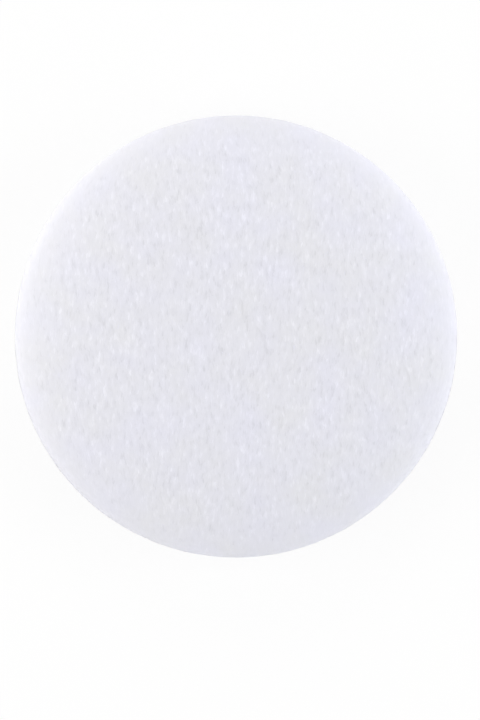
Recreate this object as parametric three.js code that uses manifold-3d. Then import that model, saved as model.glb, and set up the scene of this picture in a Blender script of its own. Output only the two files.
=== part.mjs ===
import * as THREE from 'three';
import { mergeVertices } from 'three/addons/utils/BufferGeometryUtils.js';
import Module from 'manifold-3d';

// Round cosmetic powder puff. Two discs of cut-pile velour are sewn together inside out with the
// ends of a satin finger ribbon between them, turned through a gap in the seam, filled with a foam
// disc and closed by hand. Sizes are in millimetres and +Z is up: the puff lies on its back with the
// powder face upwards, and the ribbon crosses the back along X.

// Cover
const PUFF_RADIUS = 40; // axis to the pile tips at the rim
const SEAM_HEIGHT = 6.6; // table to the middle of the seam
const FACE_RISE = 8.4; // seam to the crown of the powder face
const FACE_FULLNESS = 2.5; // exponent of the face's section, where 2 is an ellipse
const REST_FLAT_RADIUS = 23; // part of the back that lies flat on the table
const VELOUR_THICKNESS = 2.2; // knitted ground with its pile standing
const FILL_CLEARANCE = 0.5; // foam to the inside of the cover
const CLEARANCE = 0.3; // between the other pieces that lie against each other

// Seam
const ALLOWANCE_THICKNESS = 0.7; // knitted ground with its pile crushed
const SEAM_ROLL = 1.8; // inside of the cover at the rim to the stitch line
const SEAM_ALLOWANCE = 4; // stitch line to the raw edge
const THREAD_DIAMETER = 0.3;
const THREAD_CLEARANCE = 0.1; // thread to the cloth that it lies on
const LOCK_GAP = 0.2; // needle thread to bobbin thread where they meet
const STITCH_LENGTH = 5.1;
const STITCH_RUN = 0.5; // half the length over which a thread dips through its hole
const TURNING_GAP = 40; // length of seam that is closed by hand

// Finger ribbon
const RIBBON_WIDTH = 16;
const RIBBON_THICKNESS = 0.4;
const TACK_INSET = 1.9; // stitch line to the row that tacks the ribbon's end
const TACK_STITCH = 4;
const TACK_HOLES = 3;

// Facets
const ROUND_SEGMENTS = 44;
const FACE_STEPS = 8;
const SHOULDER_STEPS = 6;
const INSIDE_STEPS = 4;
const RIBBON_STEPS = 4;
const THREAD_SIDES = 4;

// Heights and radii that follow from the sizes
const faceBase = SEAM_HEIGHT + CLEARANCE / 2;
const backTop = SEAM_HEIGHT - CLEARANCE / 2;
const stitchRadius = PUFF_RADIUS - VELOUR_THICKNESS - SEAM_ROLL;
const rawEdgeRadius = stitchRadius - SEAM_ALLOWANCE;
const tackRadius = stitchRadius - TACK_INSET;
const threadLift = ALLOWANCE_THICKNESS + THREAD_CLEARANCE + THREAD_DIAMETER / 2;
const slotDepth = ALLOWANCE_THICKNESS + THREAD_CLEARANCE + THREAD_DIAMETER + CLEARANCE;
const floatHeight = CLEARANCE / 2 + threadLift;
const lockHeight = (THREAD_DIAMETER + LOCK_GAP) / 2;

const wasm = await Module();
wasm.setup();

function solid(geometry) {
  geometry.deleteAttribute('normal');
  geometry.deleteAttribute('uv');
  const merged = mergeVertices(geometry, 1e-4);
  const corners = merged.index.array;
  const triangles = [];
  for (let i = 0; i < corners.length; i += 3) {
    const [a, b, c] = corners.slice(i, i + 3);
    if (a !== b && b !== c && c !== a) {
      triangles.push(a, b, c);
    }
  }
  return new wasm.Manifold(new wasm.Mesh({
    numProp: 3,
    vertProperties: new Float32Array(merged.attributes.position.array),
    triVerts: new Uint32Array(triangles),
  }));
}

function surface(body) {
  const mesh = body.getMesh();
  const geometry = new THREE.BufferGeometry();
  geometry.setAttribute('position', new THREE.BufferAttribute(mesh.vertProperties, 3));
  geometry.setIndex(new THREE.BufferAttribute(mesh.triVerts, 1));
  geometry.computeVertexNormals();
  return geometry;
}

function lathe(profile) {
  const geometry = new THREE.LatheGeometry(profile, ROUND_SEGMENTS);
  geometry.rotateX(Math.PI / 2);
  return solid(geometry);
}

// Section of the powder face drawn in by `inset`, from `lowest` above the seam up to the crown.
function faceSection(inset, lowest, steps) {
  const reach = PUFF_RADIUS - inset;
  const rise = FACE_RISE - inset;
  const power = 2 / FACE_FULLNESS;
  const first = Math.asin((lowest / rise) ** (1 / power));
  const points = [];
  for (let i = 0; i < steps; i += 1) {
    const angle = Math.max(first, (i / steps) * (Math.PI / 2));
    const across = reach * Math.cos(angle) ** power;
    points.push(new THREE.Vector2(across, faceBase + rise * Math.sin(angle) ** power));
  }
  points.push(new THREE.Vector2(0, faceBase + rise));
  return points;
}

// Section of the back drawn in by `inset`, from the axis across the flat and up its rounded
// shoulder to `highest` below the seam.
function backSection(inset, highest, steps) {
  const reach = PUFF_RADIUS - REST_FLAT_RADIUS - inset;
  const drop = backTop - inset;
  const last = Math.acos(highest / drop);
  const points = [new THREE.Vector2(0, inset)];
  for (let i = 0; i <= steps; i += 1) {
    const angle = Math.min(last, (i / steps) * (Math.PI / 2));
    const across = REST_FLAT_RADIUS + reach * Math.sin(angle);
    points.push(new THREE.Vector2(across, backTop - drop * Math.cos(angle)));
  }
  return points;
}

function frontPanel() {
  const inside = faceSection(VELOUR_THICKNESS, ALLOWANCE_THICKNESS, INSIDE_STEPS);
  return lathe([
    ...inside.reverse(),
    new THREE.Vector2(rawEdgeRadius, faceBase + ALLOWANCE_THICKNESS),
    new THREE.Vector2(rawEdgeRadius, faceBase),
    ...faceSection(0, 0, FACE_STEPS),
  ]);
}

function backPanel() {
  const inside = backSection(VELOUR_THICKNESS, ALLOWANCE_THICKNESS, INSIDE_STEPS);
  return lathe([
    ...backSection(0, 0, SHOULDER_STEPS),
    new THREE.Vector2(rawEdgeRadius, backTop),
    new THREE.Vector2(rawEdgeRadius, backTop - ALLOWANCE_THICKNESS),
    ...inside.reverse(),
  ]);
}

// The foam is grooved round its edge by the seam allowances and their threads.
function foamCore() {
  const inset = VELOUR_THICKNESS + FILL_CLEARANCE;
  return lathe([
    ...backSection(inset, slotDepth, INSIDE_STEPS),
    new THREE.Vector2(rawEdgeRadius - CLEARANCE, backTop - slotDepth),
    new THREE.Vector2(rawEdgeRadius - CLEARANCE, faceBase + slotDepth),
    ...faceSection(inset, slotDepth, INSIDE_STEPS),
  ]);
}

// The ribbon in section: its ends lie in the seam, fold down over the rim and follow the back.
// `grow` thickens it all round, for the space that it takes up in the cover.
function ribbonOutline(grow) {
  const half = RIBBON_THICKNESS / 2 + grow;
  const tabEnd = rawEdgeRadius - grow;
  const outerReach = PUFF_RADIUS - REST_FLAT_RADIUS + grow;
  const outerDrop = SEAM_HEIGHT + grow;
  const innerReach = PUFF_RADIUS - REST_FLAT_RADIUS - RIBBON_THICKNESS - grow;
  const innerDrop = SEAM_HEIGHT - RIBBON_THICKNESS - grow;
  const bend = Math.asin(half / innerDrop);
  const down = -Math.PI / 2;
  const outline = new THREE.Shape();
  outline.moveTo(tabEnd, SEAM_HEIGHT + half);
  outline.lineTo(tabEnd, SEAM_HEIGHT - half);
  outline.absellipse(REST_FLAT_RADIUS, SEAM_HEIGHT, innerReach, innerDrop, -bend, down, true);
  outline.absellipse(-REST_FLAT_RADIUS, SEAM_HEIGHT, innerReach, innerDrop, down, bend - Math.PI, true);
  outline.lineTo(-tabEnd, SEAM_HEIGHT - half);
  outline.lineTo(-tabEnd, SEAM_HEIGHT + half);
  outline.lineTo(-REST_FLAT_RADIUS - outerReach, SEAM_HEIGHT + half);
  outline.absellipse(-REST_FLAT_RADIUS, SEAM_HEIGHT, outerReach, outerDrop, -Math.PI, down, false);
  outline.absellipse(REST_FLAT_RADIUS, SEAM_HEIGHT, outerReach, outerDrop, down, 0, false);
  outline.lineTo(REST_FLAT_RADIUS + outerReach, SEAM_HEIGHT + half);
  return outline;
}

// Across its width the ribbon keeps to the round of the rim.
function ribbonBand(grow) {
  const width = RIBBON_WIDTH + 2 * grow;
  const geometry = new THREE.ExtrudeGeometry(ribbonOutline(grow), {
    depth: width,
    steps: RIBBON_STEPS,
    curveSegments: SHOULDER_STEPS,
    bevelEnabled: false,
  });
  geometry.translate(0, 0, -width / 2);
  geometry.rotateX(Math.PI / 2);
  const position = geometry.attributes.position;
  for (let i = 0; i < position.count; i += 1) {
    const x = position.getX(i);
    const y = position.getY(i);
    position.setX(i, Math.sign(x) * Math.sqrt(x * x - y * y));
  }
  return solid(geometry);
}

// Needle holes
const stitchCount = 2 * Math.round((Math.PI * stitchRadius) / STITCH_LENGTH);
const stitchStep = (2 * Math.PI) / stitchCount;
const gapCount = Math.round(TURNING_GAP / STITCH_LENGTH);
const machineCount = stitchCount - gapCount;
const gapAngle = -Math.PI / 2 + ((gapCount + 1) / 2) * stitchStep;
const firstAngle = (Math.ceil(gapAngle / stitchStep - 0.5) + 0.5) * stitchStep;
const machineAngles = Array.from({ length: machineCount }, (_, i) => firstAngle + i * stitchStep);
const handAngles = Array.from({ length: gapCount }, (_, i) => firstAngle - (gapCount - i) * stitchStep);
const tackStep = TACK_STITCH / tackRadius;
const tackAngles = Array.from({ length: TACK_HOLES }, (_, i) => (i - (TACK_HOLES - 1) / 2) * tackStep);
const leftTackAngles = tackAngles.map((angle) => angle + Math.PI);

function needleHole(radius, angle) {
  const width = THREAD_DIAMETER + 2 * CLEARANCE;
  const length = 2 * STITCH_RUN + THREAD_DIAMETER + 2 * THREAD_CLEARANCE;
  const hole = new THREE.BoxGeometry(width, length, 2 * floatHeight);
  hole.translate(radius, 0, SEAM_HEIGHT);
  hole.rotateZ(angle);
  return solid(hole);
}

const needleHoles = wasm.Manifold.union([
  ...[...machineAngles, ...handAngles].map((angle) => needleHole(stitchRadius, angle)),
  ...[...tackAngles, ...leftTackAngles].map((angle) => needleHole(tackRadius, angle)),
]);

// A thread's centre line, with one section of the thread at each of its points.
class ThreadLine extends THREE.Curve {
  constructor(points) {
    super();
    this.points = points;
  }

  getPoint(t, target = new THREE.Vector3()) {
    const last = this.points.length - 1;
    const place = THREE.MathUtils.clamp(t, 0, 1) * last;
    const index = Math.min(Math.floor(place), last - 1);
    return target.lerpVectors(this.points[index], this.points[index + 1], place - index);
  }

  getUtoTmapping(u) {
    return u;
  }
}

function threadPoint(radius, angle, along, lift) {
  const turned = angle + along / radius;
  return new THREE.Vector3(radius * Math.cos(turned), radius * Math.sin(turned), SEAM_HEIGHT + lift);
}

function threadTube(points) {
  const section = new THREE.Shape();
  for (let i = 0; i < THREAD_SIDES; i += 1) {
    const angle = (2 * Math.PI * (i + 0.5)) / THREAD_SIDES;
    const corner = [Math.cos(angle), Math.sin(angle)].map((part) => (part * THREAD_DIAMETER) / 2);
    if (i === 0) {
      section.moveTo(...corner);
    } else {
      section.lineTo(...corner);
    }
  }
  return solid(new THREE.ExtrudeGeometry(section, {
    steps: points.length - 1,
    extrudePath: new ThreadLine(points),
    bevelEnabled: false,
  }));
}

// One thread of a lockstitch: it lies on its own side and dips to the other thread at each hole.
function lockThread(angles, side) {
  const tail = STITCH_LENGTH / 3;
  const points = [threadPoint(stitchRadius, angles[0], -tail, side * floatHeight)];
  for (const angle of angles) {
    points.push(threadPoint(stitchRadius, angle, -STITCH_RUN, side * floatHeight));
    points.push(threadPoint(stitchRadius, angle, 0, side * lockHeight));
    points.push(threadPoint(stitchRadius, angle, STITCH_RUN, side * floatHeight));
  }
  points.push(threadPoint(stitchRadius, angles.at(-1), tail, side * floatHeight));
  return threadTube(points);
}

// A hand stitch: the thread passes right through at each hole, to one side and back by turns.
function handThread(radius, angles) {
  const tail = STITCH_LENGTH / 3;
  const run = STITCH_RUN / 2;
  let side = 1;
  const points = [threadPoint(radius, angles[0], -tail, floatHeight)];
  for (const angle of angles) {
    points.push(threadPoint(radius, angle, -run, side * floatHeight));
    side = -side;
    points.push(threadPoint(radius, angle, run, side * floatHeight));
  }
  points.push(threadPoint(radius, angles.at(-1), tail, side * floatHeight));
  return threadTube(points);
}

const velour = new THREE.MeshStandardMaterial({ color: 0xeeeef4, roughness: 0.95, metalness: 0 });
const foam = new THREE.MeshStandardMaterial({ color: 0xf0ead8, roughness: 0.95, metalness: 0 });
const satin = new THREE.MeshStandardMaterial({ color: 0xf6f5f4, roughness: 0.4, metalness: 0 });
const thread = new THREE.MeshStandardMaterial({ color: 0xf2f2f2, roughness: 0.6, metalness: 0 });

const puff = new THREE.Group();
puff.name = 'powder_puff';

function addPiece(name, body, material) {
  const mesh = new THREE.Mesh(surface(body), material);
  mesh.name = name;
  puff.add(mesh);
}

const ribbonSpace = ribbonBand(CLEARANCE);
addPiece('front_velour', frontPanel().subtract(ribbonSpace).subtract(needleHoles), velour);
addPiece('back_velour', backPanel().subtract(ribbonSpace).subtract(needleHoles), velour);
addPiece('foam_core', foamCore(), foam);
addPiece('needle_thread', lockThread(machineAngles, 1), thread);
addPiece('bobbin_thread', lockThread(machineAngles, -1), thread);
addPiece('closing_thread', handThread(stitchRadius, handAngles), thread);
addPiece('ribbon', ribbonBand(0).subtract(needleHoles), satin);
addPiece('ribbon_tack_right', handThread(tackRadius, tackAngles), thread);
addPiece('ribbon_tack_left', handThread(tackRadius, leftTackAngles), thread);

export default puff;
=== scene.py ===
import math

import bmesh
import bpy
import numpy as np
from mathutils import Matrix, Vector, kdtree, noise


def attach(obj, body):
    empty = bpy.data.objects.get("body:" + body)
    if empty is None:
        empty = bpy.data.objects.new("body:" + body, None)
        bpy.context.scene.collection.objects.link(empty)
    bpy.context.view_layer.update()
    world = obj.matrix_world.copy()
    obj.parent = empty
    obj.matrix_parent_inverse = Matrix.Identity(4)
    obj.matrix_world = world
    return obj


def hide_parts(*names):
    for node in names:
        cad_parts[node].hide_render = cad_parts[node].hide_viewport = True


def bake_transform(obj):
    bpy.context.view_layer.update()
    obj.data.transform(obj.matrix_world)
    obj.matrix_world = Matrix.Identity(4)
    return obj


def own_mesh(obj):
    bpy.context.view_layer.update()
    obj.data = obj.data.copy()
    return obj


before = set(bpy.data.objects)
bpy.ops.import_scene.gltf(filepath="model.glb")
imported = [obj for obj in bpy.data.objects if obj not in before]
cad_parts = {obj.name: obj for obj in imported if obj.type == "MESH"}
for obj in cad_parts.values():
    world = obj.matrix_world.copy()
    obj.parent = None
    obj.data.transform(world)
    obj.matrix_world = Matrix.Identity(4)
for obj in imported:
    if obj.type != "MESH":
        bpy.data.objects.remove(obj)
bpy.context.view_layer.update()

# Filling: a disc of soft open-cell foam, cut from sheet and pushed in through the gap in the seam.
# The seam allowances press a groove round its edge, and its cells leave the surface pitted.
weld_distance = 1e-6
pit_depth = 0.00008
pit_sink = 0.6
pits_per_metre = 900


def add_to_scene(name, data):
    holder = bpy.data.objects.new(name, data)
    bpy.context.scene.collection.objects.link(holder)
    return holder


def new_mesh(name, bm):
    mesh = bpy.data.meshes.new(name)
    bm.to_mesh(mesh)
    bm.free()
    return mesh


def new_piece(name, bm, material):
    piece = add_to_scene(name, new_mesh(name, bm))
    piece.data.materials.append(material)
    return piece


def surface_material(name, base_color, roughness):
    material = bpy.data.materials.new(name)
    material.use_nodes = True
    shader = material.node_tree.nodes["Principled BSDF"]
    shader.inputs["Base Color"].default_value = (*base_color, 1)
    shader.inputs["Roughness"].default_value = roughness
    return material, material.node_tree, shader


def add_node(tree, kind, inputs=None, **settings):
    node = tree.nodes.new(kind)
    for name, value in settings.items():
        setattr(node, name, value)
    for socket, value in (inputs or {}).items():
        if isinstance(value, bpy.types.NodeSocket):
            tree.links.new(value, node.inputs[socket])
        else:
            node.inputs[socket].default_value = value
    return node


def object_place(tree):
    return add_node(tree, "ShaderNodeTexCoord").outputs["Object"]


def color_ramp(tree, value, start, end):
    ramp = add_node(tree, "ShaderNodeValToRGB", {"Fac": value})
    for element, (position, color) in zip(ramp.color_ramp.elements, (start, end)):
        element.position = position
        element.color = (*color, 1)
    return ramp.outputs["Color"]


def add_bump(tree, shader, height, strength, distance):
    bump = add_node(tree, "ShaderNodeBump", {"Height": height, "Strength": strength, "Distance": distance})
    tree.links.new(bump.outputs["Normal"], shader.inputs["Normal"])


foam_material, tree, shader = surface_material("open_cell_foam", (0.88, 0.84, 0.72), 0.9)
cells = add_node(tree, "ShaderNodeTexVoronoi", {"Vector": object_place(tree), "Scale": 1600})
add_bump(tree, shader, cells.outputs["Distance"], strength=0.6, distance=0.0003)
# Painted shade: the foam is coloured darker down in each cell pit, where the bump sinks, and lighter on the
# cell walls between.
pit_painted_shade = color_ramp(tree, cells.outputs["Distance"], (0, (0.80, 0.75, 0.62)), (1, (0.92, 0.88, 0.77)))
tree.links.new(pit_painted_shade, shader.inputs["Base Color"])

bm = bmesh.new()
bm.from_mesh(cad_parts["foam_core"].data)
bmesh.ops.remove_doubles(bm, verts=bm.verts, dist=weld_distance)
bmesh.ops.subdivide_edges(bm, edges=bm.edges[:], cuts=1, use_grid_fill=True)
for vert in bm.verts:
    vert.co += vert.normal * pit_depth * (noise.noise(vert.co * pits_per_metre) - pit_sink)
foam = new_piece("foam_filling", bm, foam_material)
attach(foam, "puff")
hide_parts("foam_core")
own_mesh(foam)

# Cover: two discs of white cut-pile velour, face to face, sewn round the edge and turned right side
# out. The cloth swells over the foam, draws in at the seam and turns in there to its raw edge. It is
# flat where it rests, and the ribbon presses a shallow channel across the back.
puff_radius = 0.0400
seam_height = 0.0066
crown_height = 0.01515
pile_height = 0.00009
cloth_thickness = 0.00045
rest_radius = 0.0230
face_fullness = 2.5
ground_radius = puff_radius - pile_height
ground_crown = crown_height - pile_height
rest_steps = 28
shoulder_steps = 16
face_steps = 32

raw_edge_radius = 0.0320
raw_edge_height = 0.00042
turn_in_radius = 0.0384
turn_in_height = 0.00028
stitch_count = 44
steps_per_stitch = 4
seam_pull = 0.022
stitch_pull = 0.004
seam_pull_height = 0.0009
cut_tolerance = 1e-7

ribbon_width = 0.0160
channel_lines = (0.0, 0.0003, 0.0006, 0.0010)
channel_line_tolerance = 1e-5
channel_depth = 0.00036
channel_growth = 0.06
channel_seam_share = 0.43
channel_fade = 0.0008

swell_scale = 10
swell_limit = 0.0005
swell_grid = 0.0016
swell_frames = 20
swell_neighbours = 16
held_seam_height = 0.0010
held_rim_width = 0.003

bm = bmesh.new()
section = [bm.verts.new((rest_radius * step / rest_steps, 0, pile_height)) for step in range(rest_steps + 1)]
for step in range(1, shoulder_steps + 1):
    angle = math.pi / 2 * step / shoulder_steps
    across = rest_radius + (ground_radius - rest_radius) * math.sin(angle)
    up = seam_height - (seam_height - pile_height) * math.cos(angle)
    section.append(bm.verts.new((across, 0, up)))
for step in range(1, face_steps + 1):
    angle = math.pi / 2 * step / face_steps
    across = ground_radius * math.cos(angle) ** (2 / face_fullness) if step < face_steps else 0
    up = (ground_crown - seam_height) * math.sin(angle) ** (2 / face_fullness)
    section.append(bm.verts.new((across, 0, seam_height + up)))
edges = [bm.edges.new(pair) for pair in zip(section, section[1:])]
bmesh.ops.spin(bm, geom=section + edges, cent=(0, 0, 0), axis=(0, 0, 1), dvec=(0, 0, 0),
               angle=2 * math.pi, steps=steps_per_stitch * stitch_count, use_merge=True)
bmesh.ops.remove_doubles(bm, verts=bm.verts, dist=weld_distance)
bmesh.ops.recalc_face_normals(bm, faces=bm.faces)


def set_in_order(bm):
    bm.verts.index_update()
    size = len(bm.verts)
    for parts in (bm.edges, bm.faces):
        corners = {part: [vert.index for vert in part.verts] for part in parts}
        parts.sort(key=lambda part: min(corners[part]) * size ** 2 + sum(corners[part]))


set_in_order(bm)
for offset in channel_lines:
    for side in (1, -1):
        below = [face for face in bm.faces if face.calc_center_median().z < seam_height]
        around = dict.fromkeys(part for face in below for part in (*face.edges, *face.verts))
        bmesh.ops.bisect_plane(bm, geom=below + list(around), dist=channel_line_tolerance,
                               plane_co=(0, side * (ribbon_width / 2 + offset), 0), plane_no=(0, 1, 0))
        set_in_order(bm)


def ease(value, start, end):
    share = min(1, max(0, (value - start) / (end - start)))
    return share * share * (3 - 2 * share)


def under_ribbon(place):
    beside = ease(abs(place.y), ribbon_width / 2, ribbon_width / 2 + channel_lines[-1])
    return (1 - beside) * ease(seam_height - place.z, 0, channel_fade)


def settle(piece):
    graph = bpy.context.evaluated_depsgraph_get()
    settled = bpy.data.meshes.new_from_object(piece.evaluated_get(graph))
    piece.modifiers.clear()
    old = piece.data
    piece.data = settled
    bpy.data.meshes.remove(old)


def vertex_places(mesh):
    places = np.empty(len(mesh.vertices) * 3)
    mesh.vertices.foreach_get("co", places)
    return places.reshape(-1, 3)


strapped = [under_ribbon(vert.co) for vert in bm.verts]
pad_mesh = bpy.data.meshes.new("sewn_pad")
bm.to_mesh(pad_mesh)
pad_mesh.transform(Matrix.Scale(swell_scale, 4))
pad = add_to_scene("sewn_pad", pad_mesh)
remesh = pad.modifiers.new("even_cloth", "REMESH")
remesh.mode = "VOXEL"
remesh.voxel_size = swell_grid * swell_scale
settle(pad)
sewn = vertex_places(pad.data) / swell_scale
near_seam = np.abs(sewn[:, 2] - seam_height) < held_seam_height
at_rim = np.hypot(sewn[:, 0], sewn[:, 1]) > ground_radius - held_rim_width
seam = pad.vertex_groups.new(name="seam")
seam.add(np.flatnonzero(near_seam & at_rim).tolist(), 1.0, "REPLACE")
cloth = pad.modifiers.new("stuffed", "CLOTH")
cloth.settings.quality = 6
cloth.settings.use_pressure = True
cloth.settings.uniform_pressure_force = 4
cloth.settings.vertex_group_mass = "seam"
cloth.settings.shrink_min = -0.02
cloth.settings.effector_weights.gravity = 0
for step in range(1, swell_frames + 1):
    bpy.context.scene.frame_set(step)
settle(pad)
bpy.context.scene.frame_set(1)
swelling = vertex_places(pad.data) / swell_scale - sewn
swelling *= swell_limit / np.linalg.norm(swelling, axis=1).max()
bpy.data.objects.remove(pad)
nearby = kdtree.KDTree(len(sewn))
for index, place in enumerate(sewn):
    nearby.insert(place, index)
nearby.balance()
for vert, held in zip(bm.verts, strapped):
    around = [index for _, index, _ in nearby.find_n(vert.co, swell_neighbours)]
    vert.co += (1 - held) * Vector(swelling[around].mean(axis=0))

for vert in bm.verts:
    if vert.co.xy.length > raw_edge_radius:
        at_seam = math.exp(-((vert.co.z - seam_height) / seam_pull_height) ** 2)
        stitch = math.cos(stitch_count * math.atan2(vert.co.y, vert.co.x))
        vert.co.xy *= 1 - at_seam * (seam_pull + stitch_pull * stitch)
widest = max(vert.co.xy.length for vert in bm.verts)
highest = max(vert.co.z for vert in bm.verts)
for vert, held in zip(bm.verts, strapped):
    vert.co.xy *= 1 + (1 - held) * (ground_radius / widest - 1)
    if vert.co.z > seam_height:
        rise = (vert.co.z - seam_height) * (ground_crown - seam_height) / (highest - seam_height)
        vert.co.z = seam_height + rise
    else:
        vert.co.z = max(pile_height, vert.co.z)
bm.normal_update()
pressed = []
for vert, held in zip(bm.verts, strapped):
    deep = channel_depth + channel_growth * vert.co.z
    shallow = channel_seam_share * (seam_height - vert.co.z)
    pressed.append(vert.normal * held * min(deep, shallow))
for vert, press in zip(bm.verts, pressed):
    vert.co -= press
cover_mesh = new_mesh("cover", bm)


def velour_material(name):
    material, tree, shader = surface_material(name, (0.80, 0.802, 0.88), 0.95)
    shader.inputs["Specular IOR Level"].default_value = 0.1
    shader.inputs["Sheen Weight"].default_value = 0.45
    shader.inputs["Sheen Roughness"].default_value = 0.4
    return material, tree, shader


ground_material, tree, shader = velour_material("velour_ground")
knit = add_node(tree, "ShaderNodeTexVoronoi", {"Vector": object_place(tree), "Scale": 2600})
add_bump(tree, shader, knit.outputs["Distance"], strength=0.15, distance=0.00004)


def cut(bm, place, facing, tolerance, clear_inner=False):
    bmesh.ops.bisect_plane(bm, geom=bm.verts[:] + bm.edges[:] + bm.faces[:], dist=tolerance,
                           plane_co=place, plane_no=facing, clear_inner=clear_inner)


def half_cover(name, side):
    bm = bmesh.new()
    bm.from_mesh(cover_mesh)
    cut(bm, (0, 0, seam_height), (0, 0, side), cut_tolerance, clear_inner=True)
    set_in_order(bm)
    outside = bpy.data.meshes.new(name + "_outside")
    bm.to_mesh(outside)
    rim = [edge for edge in bm.edges if edge.is_boundary]
    for reach, height in ((turn_in_radius, turn_in_height), (raw_edge_radius, raw_edge_height)):
        turned = bmesh.ops.extrude_edge_only(bm, edges=rim)["geom"]
        rim = [edge for edge in turned if isinstance(edge, bmesh.types.BMEdge) and edge.is_boundary]
        for vert in turned:
            if isinstance(vert, bmesh.types.BMVert):
                vert.co.xy = vert.co.xy.normalized() * reach
                vert.co.z = seam_height + side * height
    bmesh.ops.recalc_face_normals(bm, faces=bm.faces)
    bmesh.ops.solidify(bm, geom=bm.faces[:], thickness=cloth_thickness)
    bmesh.ops.recalc_face_normals(bm, faces=bm.faces)
    set_in_order(bm)
    for face in bm.faces:
        face.smooth = True
    piece = new_piece(name, bm, ground_material)
    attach(piece, "puff")
    return piece, outside


front, front_outside = half_cover("front_cover", side=1)
back, back_outside = half_cover("back_cover", side=-1)
bpy.data.meshes.remove(cover_mesh)
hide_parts("front_velour")
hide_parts("back_velour")
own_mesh(front)

# Pile: the velour's cut yarn ends, close together on the ground and brushed flat one way.
# Each tuft is one yarn end that lies on the cloth and lifts a little towards its tip.
tuft_length = 0.00098
tuft_width = 0.00034
tuft_belly = 1.5
tuft_cut_tolerance = 1e-9
triangle_radius = 2 / 3
triangle_side = math.sqrt(4 / 3)
root_share = 1 / 3
tuft_sizes = (0.85, 1.15)
tuft_spacing = 0.000199
tufts_per_area = 40e6
root_lift = 0.000006
tip_lift = 0.00002
lift_shares = (0.4, 1.8)
nap_turn = math.pi
nap_sway = 0.35
nap_stray = 0.12
streaks_per_metre = (1420, 590, 1420)
streak_mean = 0.5
yarn_difference = 0.12
streak_sharpness = 0.7
bake_width = 2.2 * puff_radius


def mix_color(tree, factor, first, second, blend_type="MIX"):
    mixed = add_node(tree, "ShaderNodeMix", {"Factor": factor, "A": first, "B": second},
                     data_type="RGBA", blend_type=blend_type)
    return mixed.outputs["Result"]


pile_material, tree, shader = velour_material("velour_pile")
shade = add_node(tree, "ShaderNodeAttribute", attribute_name="tuft_shade")
yarn = mix_color(tree, shade.outputs["Fac"], (0.717, 0.719, 0.795, 1), (0.877, 0.879, 0.971, 1))
patches = add_node(tree, "ShaderNodeTexNoise", {"Vector": object_place(tree), "Scale": 110, "Detail": 2})
patch_tint = color_ramp(tree, patches.outputs["Fac"], (0.3, (1, 1, 0.955)), (0.7, (1, 1, 1)))
tinted = mix_color(tree, 1, yarn, patch_tint, blend_type="MULTIPLY")
tree.links.new(tinted, shader.inputs["Base Color"])

bm = bmesh.new()
bmesh.ops.create_circle(bm, cap_ends=True, segments=3, radius=triangle_radius)
tip_side = min((vert.co for vert in bm.verts), key=lambda co: abs(co.x)).y
tuft_stretch = (tuft_width / triangle_side, math.copysign(tuft_length, -tip_side), 1)
bmesh.ops.scale(bm, verts=bm.verts, vec=tuft_stretch)
cut(bm, (0, -tuft_length / 6, 0), (0, 1, 0), tuft_cut_tolerance)
bmesh.ops.recalc_face_normals(bm, faces=bm.faces)
if bm.faces[:][0].normal.z < 0:
    bmesh.ops.reverse_faces(bm, faces=bm.faces)
lift = bm.verts.layers.float.new("lift")
for vert in bm.verts:
    along = root_share - vert.co.y / tuft_length
    vert[lift] = root_lift + (tip_lift - root_lift) * along
    if 0.1 < along < 0.9:
        vert.co.x *= tuft_belly
tuft = add_to_scene("tuft", new_mesh("tuft", bm))


def math_node(tree, operation, *values):
    return add_node(tree, "ShaderNodeMath", dict(enumerate(values)), operation=operation).outputs[0]


def random_value(tree, low, high, seed):
    node = add_node(tree, "FunctionNodeRandomValue", {2: low, 3: high, "Seed": seed}, data_type="FLOAT")
    return node.outputs[1]


def store(tree, geometry, name, value, data_type, domain):
    node = add_node(tree, "GeometryNodeStoreNamedAttribute", data_type=data_type, domain=domain,
                    inputs={"Geometry": geometry, "Name": name, "Value": value})
    return node.outputs["Geometry"]


def stored(tree, name):
    return add_node(tree, "GeometryNodeInputNamedAttribute", {"Name": name}, data_type="FLOAT").outputs[0]


def nap_rotation(tree, where, normal, seed):
    combing = add_node(tree, "ShaderNodeTexNoise", {"Vector": where, "Scale": 160, "Detail": 2})
    turn = add_node(tree, "ShaderNodeMapRange", {
        "Value": combing.outputs["Fac"], "To Min": nap_turn - nap_sway, "To Max": nap_turn + nap_sway})
    brushed = math_node(tree, "ADD", turn.outputs[0], random_value(tree, -nap_stray, nap_stray, seed))
    nap = add_node(tree, "ShaderNodeCombineXYZ", {"Z": brushed})
    upright = add_node(tree, "FunctionNodeAlignRotationToVector", {"Vector": normal}, axis="Z")
    turned = add_node(tree, "FunctionNodeRotateRotation", {
        "Rotation": nap.outputs[0], "Rotate By": upright.outputs[0]})
    return turned.outputs[0]


def yarn_shade(tree, where, normal, seed):
    along_nap = add_node(tree, "ShaderNodeVectorMath", {0: where, 1: streaks_per_metre}, operation="MULTIPLY")
    streaks = add_node(tree, "ShaderNodeTexNoise", {"Vector": along_nap.outputs[0], "Scale": 1, "Detail": 1})
    one_yarn = random_value(tree, -streak_mean - yarn_difference, -streak_mean + yarn_difference, seed)
    from_mean = math_node(tree, "ADD", streaks.outputs["Fac"], one_yarn)
    sharpened = math_node(tree, "POWER", math_node(tree, "ABSOLUTE", from_mean), streak_sharpness)
    streak = math_node(tree, "MULTIPLY", from_mean, sharpened)
    facing = add_node(tree, "ShaderNodeSeparateXYZ", {0: normal})
    contrast = add_node(tree, "ShaderNodeMapRange", {
        "Value": math_node(tree, "ABSOLUTE", facing.outputs["Z"]),
        "From Min": 0.85, "From Max": 0.995, "To Min": 1.4, "To Max": 3.9})
    return math_node(tree, "MULTIPLY_ADD", streak, contrast.outputs[0], streak_mean)


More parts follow.
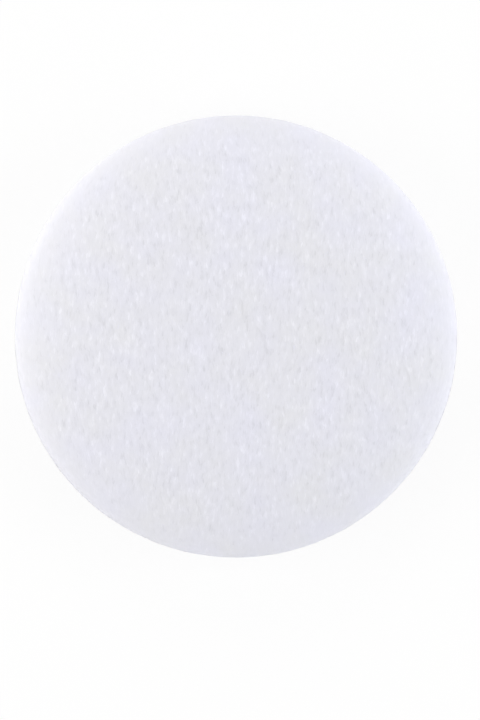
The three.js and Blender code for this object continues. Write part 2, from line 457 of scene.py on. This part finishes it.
def laid_on(tree, ground, pile):
    normal = add_node(tree, "GeometryNodeInputNormal").outputs[0]
    cloth_normal = add_node(tree, "GeometryNodeSampleNearestSurface", {"Mesh": ground, "Value": normal},
                            data_type="FLOAT_VECTOR").outputs[0]
    pile = store(tree, pile, "cloth_normal", cloth_normal, "FLOAT_VECTOR", "POINT")
    nearest = add_node(tree, "GeometryNodeProximity", {0: ground}, target_element="FACES")
    own_lift = math_node(tree, "MULTIPLY", stored(tree, "lift"), stored(tree, "lift_share"))
    raised = add_node(tree, "ShaderNodeVectorMath", {0: cloth_normal, "Scale": own_lift}, operation="SCALE")
    on_cloth = add_node(tree, "ShaderNodeVectorMath", {0: nearest.outputs["Position"], 1: raised.outputs[0]})
    lay = add_node(tree, "GeometryNodeSetPosition", {"Geometry": pile, "Position": on_cloth.outputs[0]})
    return lay.outputs[0]


def pile_on(name, outside, seed):
    piece = add_to_scene(name, outside)
    tree = bpy.data.node_groups.new(name, "GeometryNodeTree")
    tree.interface.new_socket("Geometry", in_out="INPUT", socket_type="NodeSocketGeometry")
    tree.interface.new_socket("Geometry", in_out="OUTPUT", socket_type="NodeSocketGeometry")
    ground = add_node(tree, "NodeGroupInput").outputs[0]
    scatter = add_node(tree, "GeometryNodeDistributePointsOnFaces", distribute_method="POISSON", inputs={
        "Mesh": ground, "Distance Min": tuft_spacing, "Density Max": tufts_per_area, "Seed": seed})
    where = add_node(tree, "GeometryNodeInputPosition").outputs[0]
    normal = scatter.outputs["Normal"]
    source = add_node(tree, "GeometryNodeObjectInfo", {"Object": tuft})
    plant = add_node(tree, "GeometryNodeInstanceOnPoints", {
        "Points": scatter.outputs["Points"], "Instance": source.outputs["Geometry"],
        "Rotation": nap_rotation(tree, where, normal, seed + 1),
        "Scale": random_value(tree, *tuft_sizes, seed + 2)})
    tufts = plant.outputs["Instances"]
    tufts = store(tree, tufts, "tuft_shade", yarn_shade(tree, where, normal, seed + 3), "FLOAT", "INSTANCE")
    tufts = store(tree, tufts, "lift_share", random_value(tree, *lift_shares, seed + 4), "FLOAT", "INSTANCE")
    pile = add_node(tree, "GeometryNodeRealizeInstances", {0: tufts}).outputs[0]
    add_node(tree, "NodeGroupOutput", {0: laid_on(tree, ground, pile)})
    grow = piece.modifiers.new("grow", "NODES")
    grow.node_group = tree
    settle(piece)
    mesh = piece.data
    mesh.materials.clear()
    mesh.materials.append(pile_material)
    corners = np.empty(len(mesh.loops), dtype=np.int32)
    mesh.loops.foreach_get("vertex_index", corners)
    flat_map = vertex_places(mesh)[corners, :2] / bake_width + 0.5
    mesh.uv_layers.new(name="OFBake").data.foreach_set("uv", flat_map.ravel())
    normals = np.empty(len(mesh.vertices) * 3)
    mesh.attributes["cloth_normal"].data.foreach_get("vector", normals)
    mesh.normals_split_custom_set_from_vertices(normals.reshape(-1, 3).tolist())
    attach(piece, "puff")
    return piece


front_pile = pile_on("front_pile", front_outside, seed=11)
pile_on("back_pile", back_outside, seed=29)
bpy.data.objects.remove(tuft)
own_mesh(front_pile)

# Finger ribbon: a satin ribbon across the back, with each end folded into the seam between the two
# discs before they are sewn. It lies flat on the back, and a finger slips between it and the pile.
ribbon_thickness = 0.00035
ribbon_reach = 0.0393
fold_radius = 0.0003
tab_length = ribbon_reach - fold_radius - raw_edge_radius
ribbon_middle = ribbon_thickness / 2
shoulder_run = ribbon_reach - rest_radius
shoulder_rise = seam_height - fold_radius - ribbon_middle
shoulder_length = math.pi / 2 * math.sqrt((shoulder_run ** 2 + shoulder_rise ** 2) / 2)
fold_length = math.pi / 2 * fold_radius
seam_entry = rest_radius + shoulder_length
half_length = seam_entry + fold_length + tab_length
rounding_start = 0.009
rounding_run = 0.014

pucker_height = 0.00012
pucker_spacing = 0.0040
pucker_start = rest_radius + 0.3 * shoulder_length
pucker_full = rest_radius + 0.85 * shoulder_length
pucker_fade = 0.0012
selvage_line = 0.0074
selvage_blur = 0.0001
selvage_groove = 0.00005
groove_width = 0.00008
groove_tolerance = 1e-5
crease_angle = 1.0

satin_material, tree, shader = surface_material("satin", (0.86, 0.85, 0.85), 0.35)
shader.inputs["Sheen Weight"].default_value = 0.2
shader.inputs["Anisotropic"].default_value = 0.6
along_ribbon = add_node(tree, "ShaderNodeUVMap", uv_map="weave").outputs["UV"]
floats = add_node(tree, "ShaderNodeTexWave", bands_direction="Y", inputs={
    "Vector": along_ribbon, "Scale": 1600, "Distortion": 1.5, "Detail Scale": 4})
add_bump(tree, shader, floats.outputs["Fac"], strength=0.25, distance=0.00005)
split = add_node(tree, "ShaderNodeSeparateXYZ", {0: along_ribbon})
selvage = add_node(tree, "ShaderNodeMapRange", {
    "Value": math_node(tree, "ABSOLUTE", split.outputs["Y"]),
    "From Min": selvage_line - selvage_blur, "From Max": selvage_line + selvage_blur})
# Painted sheen and painted shade: the weave's floats are coloured lighter on their raised crowns and darker
# in the hollows between, following the bump.
weave_and_painted_sheen = mix_color(tree, floats.outputs["Fac"], (0.80, 0.79, 0.79, 1), (0.90, 0.89, 0.89, 1))
edged = mix_color(tree, selvage.outputs[0], weave_and_painted_sheen, (0.78, 0.77, 0.77, 1))
tree.links.new(edged, shader.inputs["Base Color"])
lustre = add_node(tree, "ShaderNodeTexNoise", {"Vector": along_ribbon, "Scale": 140, "Detail": 1})
gloss = add_node(tree, "ShaderNodeMapRange", {"Value": lustre.outputs["Fac"], "To Min": 0.26, "To Max": 0.42})
tree.links.new(gloss.outputs[0], shader.inputs["Roughness"])


def ribbon_path(walked):
    if walked < rest_radius:
        return walked, ribbon_middle
    walked -= rest_radius
    if walked < shoulder_length:
        angle = math.pi / 2 * walked / shoulder_length
        reach = rest_radius + shoulder_run * math.sin(angle)
        return reach, seam_height - fold_radius - shoulder_rise * math.cos(angle)
    walked -= shoulder_length
    if walked < fold_length:
        angle = walked / fold_radius
        reach = ribbon_reach - fold_radius * (1 - math.cos(angle))
        return reach, seam_height - fold_radius * (1 - math.sin(angle))
    return ribbon_reach - fold_radius - (walked - fold_length), seam_height


def ribbon_half(name, side):
    bm = bmesh.new()
    weave = bm.loops.layers.uv.new("weave")
    bmesh.ops.create_grid(bm, x_segments=104, y_segments=32, size=0.5)
    for line in (-selvage_line, selvage_line):
        for offset in (-groove_width, 0, groove_width):
            cut(bm, (0, (line + offset) / ribbon_width, 0), (0, 1, 0), cut_tolerance)
    for face in bm.faces:
        face.smooth = True
        for loop in face.loops:
            loop[weave].uv = ((loop.vert.co.x + 0.5) * half_length, loop.vert.co.y * ribbon_width)
    laid = [((vert.co.x + 0.5) * half_length, vert.co.y * ribbon_width) for vert in bm.verts]
    for vert, (walked, across) in zip(bm.verts, laid):
        reach, height = ribbon_path(walked)
        round_rim = math.sqrt(max(0, reach ** 2 - across ** 2))
        rounded = min(1, max(0, (walked - rounding_start) / rounding_run))
        vert.co = (side * (reach + rounded * (round_rim - reach)), across, height)
    bmesh.ops.recalc_face_normals(bm, faces=bm.faces)
    bm.normal_update()
    inwards = -1 if bm.verts[:][0].normal.z > 0 else 1
    for vert, (walked, across) in zip(bm.verts, laid):
        gathered = ease(walked, pucker_start, pucker_full)
        gathered *= 1 - ease(walked, seam_entry - pucker_fade, seam_entry)
        pucker = pucker_height * gathered * (0.5 - 0.5 * math.cos(2 * math.pi * across / pucker_spacing))
        on_selvage = abs(abs(across) - selvage_line) < groove_tolerance
        groove = selvage_groove if walked < seam_entry and on_selvage else 0
        vert.co += vert.normal * inwards * (pucker - groove)
    half = new_piece(name, bm, satin_material)
    body = half.modifiers.new("thickness", "SOLIDIFY")
    body.thickness = ribbon_thickness
    body.offset = 0
    settle(half)
    half.data.set_sharp_from_angle(angle=crease_angle)
    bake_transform(half)
    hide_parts("ribbon")


ribbon_half("ribbon_right", side=1)
ribbon_half("ribbon_left", side=-1)

# Threads: white sewing thread, the two that lock in the seam, the hand stitches that close the
# turning gap, and the tacks through the ribbon's ends.
thread_material, tree, shader = surface_material("sewing_thread", (0.86, 0.86, 0.87), 0.6)
shader.inputs["Sheen Weight"].default_value = 0.2
twist = add_node(tree, "ShaderNodeTexWave", bands_direction="DIAGONAL", inputs={
    "Vector": object_place(tree), "Scale": 900})
add_bump(tree, shader, twist.outputs["Fac"], strength=0.5, distance=0.00005)
for name in ("needle_thread", "bobbin_thread", "closing_thread", "ribbon_tack_right", "ribbon_tack_left"):
    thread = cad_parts[name]
    thread.data.materials.clear()
    thread.data.materials.append(thread_material)

# Stage: a plain white floor, soft light from both sides and above, and the photograph's view from
# straight above the powder face.
floor_reach = 3
floor_glow_share = 0.87
lamp_size = 0.9
warm = (1, 0.985, 0.955)
cool = (0.975, 0.985, 1)


def seen_directly(tree):
    ray = add_node(tree, "ShaderNodeLightPath").outputs
    either = math_node(tree, "ADD", ray["Is Camera Ray"], ray["Is Glossy Ray"])
    return math_node(tree, "ADD", either, ray["Is Transmission Ray"])


bm = bmesh.new()
bmesh.ops.create_grid(bm, x_segments=1, y_segments=1, size=floor_reach)
floor = add_to_scene("floor", new_mesh("floor", bm))
floor_material, tree, shader = surface_material("white_floor", (0.94, 0.94, 0.94), 0.9)
shader.inputs["Specular IOR Level"].default_value = 0
glow = add_node(tree, "ShaderNodeEmission")
seen = add_node(tree, "ShaderNodeMixShader", {
    0: math_node(tree, "MULTIPLY", seen_directly(tree), floor_glow_share),
    1: shader.outputs[0], 2: glow.outputs[0]})
tree.links.new(seen.outputs[0], tree.nodes["Material Output"].inputs["Surface"])
floor.data.materials.append(floor_material)

world = bpy.data.worlds.new("studio")
bpy.context.scene.world = world
world.use_nodes = True
tree = world.node_tree
sky = tree.nodes["Background"]
sky.inputs["Color"].default_value = (1, 1, 1, 1)
strength = add_node(tree, "ShaderNodeMapRange", {"Value": seen_directly(tree), "To Min": 0.572, "To Max": 1})
tree.links.new(strength.outputs[0], sky.inputs["Strength"])


def soft_light(name, place, watts, tint):
    lamp = bpy.data.lights.new(name, "AREA")
    lamp.size = lamp_size
    lamp.energy = watts
    lamp.color = tint
    holder = add_to_scene(name, lamp)
    holder.location = place
    holder.rotation_euler = (-Vector(place)).to_track_quat("-Z", "Y").to_euler()


soft_light("left_light", (-0.94, -0.13, 0.30), watts=8.0, tint=warm)
soft_light("right_light", (0.95, -0.12, 0.26), watts=8.0, tint=cool)
soft_light("top_light", (-0.10, 0.97, 0.22), watts=4.6, tint=warm)

camera = bpy.data.cameras.new("camera")
camera.lens = 221.7
camera.clip_start = 0.05
eye = add_to_scene("camera", camera)
eye.location = (0.00072, -0.00424, 0.8075)
bpy.context.scene.camera = eye
bpy.context.scene.view_settings.view_transform = "Standard"
